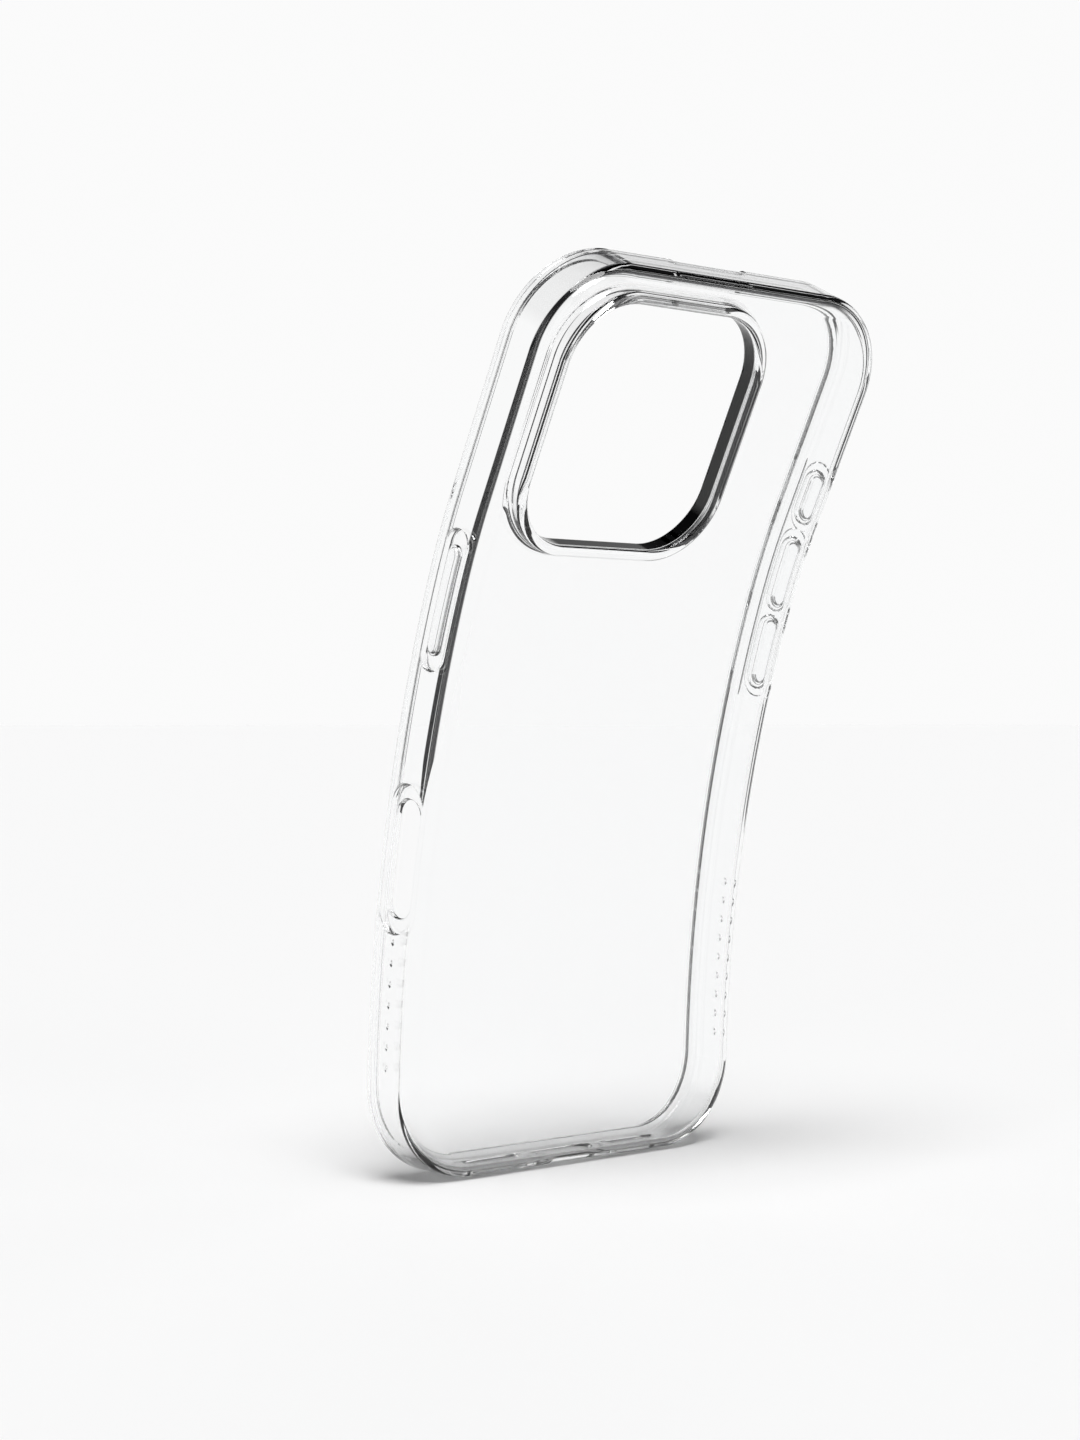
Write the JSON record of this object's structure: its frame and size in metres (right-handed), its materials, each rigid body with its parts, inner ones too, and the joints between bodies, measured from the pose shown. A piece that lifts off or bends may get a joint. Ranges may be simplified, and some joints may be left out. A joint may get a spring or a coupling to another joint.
{
  "type": "phone case",
  "caption": "Clear flexible phone case with raised camera guard, button covers and port openings, peeled back from its lower end.",
  "frame": {"origin": "on the phone seat (the inner face of the back panel), at the middle of the pocket's lower end", "axes": "+X to the right seen from behind, +Y from the back panel towards the screen side at the lower end, +Z along the lower end towards the camera end"},
  "size_m": [0.0754, 0.0527, 0.1494],
  "materials": {
    "clear_shell": "glossy, water-clear soft polyurethane, about 1.5 mm thick",
    "clear_button_cover": "glossy, water-clear soft polyurethane, raised cap over a thin web"
  },
  "bodies": {
    "lower_end": {"back_panel_lower_end": "clear_shell", "lower_end_wall": "clear_shell", "lower_left_corner": "clear_shell", "lower_right_corner": "clear_shell"},
    "flex_zone_1": {"back_panel_zone_1": "clear_shell", "left_wall_zone_1": "clear_shell", "right_wall_zone_1": "clear_shell"},
    "flex_zone_2": {"back_panel_zone_2": "clear_shell", "left_wall_zone_2": "clear_shell", "right_wall_zone_2": "clear_shell"},
    "flex_zone_3": {"back_panel_zone_3": "clear_shell", "left_wall_zone_3": "clear_shell", "right_wall_zone_3": "clear_shell"},
    "flex_zone_4": {"back_panel_zone_4": "clear_shell", "left_wall_zone_4": "clear_shell", "right_wall_zone_4": "clear_shell"},
    "flex_zone_5": {"back_panel_zone_5": "clear_shell", "left_wall_zone_5": "clear_shell", "right_wall_zone_5": "clear_shell"},
    "flex_zone_6": {"back_panel_zone_6": "clear_shell", "left_wall_zone_6": "clear_shell", "right_wall_zone_6": "clear_shell"},
    "camera_end": {"back_panel_camera_end": "clear_shell", "left_wall_camera_end": "clear_shell", "right_wall_camera_end": "clear_shell", "upper_end_wall": "clear_shell", "upper_left_corner": "clear_shell", "upper_right_corner": "clear_shell", "camera_guard_ring": "clear_shell"},
    "side_button": {"side_button_cover": "clear_button_cover"},
    "action_button": {"action_button_cover": "clear_button_cover"},
    "volume_up": {"volume_up_cover": "clear_button_cover"},
    "volume_down": {"volume_down_cover": "clear_button_cover"}
  },
  "joints": [
    {"name": "case_bend_1", "type": "hinge", "parent": "lower_end", "child": "flex_zone_1", "pos_m": [0, -0.00075, 0.014], "axis": [1, 0, 0], "range_deg": [-4, 1.8], "stiffness_Nm_per_rad": 6.5},
    {"name": "case_bend_2", "type": "hinge", "parent": "flex_zone_1", "child": "flex_zone_2", "pos_m": [0, -0.00204, 0.03245], "axis": [1, 0, 0], "range_deg": [-4.3, 1.94], "stiffness_Nm_per_rad": 0.2},
    {"name": "case_bend_3", "type": "hinge", "parent": "flex_zone_2", "child": "flex_zone_3", "pos_m": [0, -0.00465, 0.05037], "axis": [1, 0, 0], "range_deg": [-3.9, 1.75], "stiffness_Nm_per_rad": 0.2},
    {"name": "case_bend_4", "type": "hinge", "parent": "flex_zone_3", "child": "flex_zone_4", "pos_m": [0, -0.00791, 0.06542], "axis": [1, 0, 0], "range_deg": [-3.1, 1.4], "stiffness_Nm_per_rad": 0.2},
    {"name": "case_bend_5", "type": "hinge", "parent": "flex_zone_4", "child": "flex_zone_5", "pos_m": [0, -0.0115, 0.07854], "axis": [1, 0, 0], "range_deg": [-3.2, 1.44], "stiffness_Nm_per_rad": 0.2},
    {"name": "case_bend_6", "type": "hinge", "parent": "flex_zone_5", "child": "flex_zone_6", "pos_m": [0, -0.01597, 0.09191], "axis": [1, 0, 0], "range_deg": [-2.4, 1.08], "stiffness_Nm_per_rad": 0.2},
    {"name": "case_bend_7", "type": "hinge", "parent": "flex_zone_6", "child": "camera_end", "pos_m": [0, -0.01929, 0.1006], "axis": [1, 0, 0], "range_deg": [-6.4, 2.88], "stiffness_Nm_per_rad": 0.2},
    {"name": "side_button_press", "type": "slide", "parent": "flex_zone_5", "child": "side_button", "axis": [1, 0, 0], "range_m": [0, 0.0004], "stiffness_N_per_m": 900},
    {"name": "action_button_press", "type": "slide", "parent": "camera_end", "child": "action_button", "axis": [-1, 0, 0], "range_m": [0, 0.0004], "stiffness_N_per_m": 900},
    {"name": "volume_up_press", "type": "slide", "parent": "flex_zone_6", "child": "volume_up", "axis": [-1, 0, 0], "range_m": [0, 0.0004], "stiffness_N_per_m": 900},
    {"name": "volume_down_press", "type": "slide", "parent": "flex_zone_5", "child": "volume_down", "axis": [-1, 0, 0], "range_m": [0, 0.0004], "stiffness_N_per_m": 900}
  ],
  "couplings": [
    {"joint": "case_bend_2", "follows": "case_bend_1", "ratio": 1.075},
    {"joint": "case_bend_3", "follows": "case_bend_1", "ratio": 0.975},
    {"joint": "case_bend_4", "follows": "case_bend_1", "ratio": 0.775},
    {"joint": "case_bend_5", "follows": "case_bend_1", "ratio": 0.8},
    {"joint": "case_bend_6", "follows": "case_bend_1", "ratio": 0.6},
    {"joint": "case_bend_7", "follows": "case_bend_1", "ratio": 1.6}
  ]
}
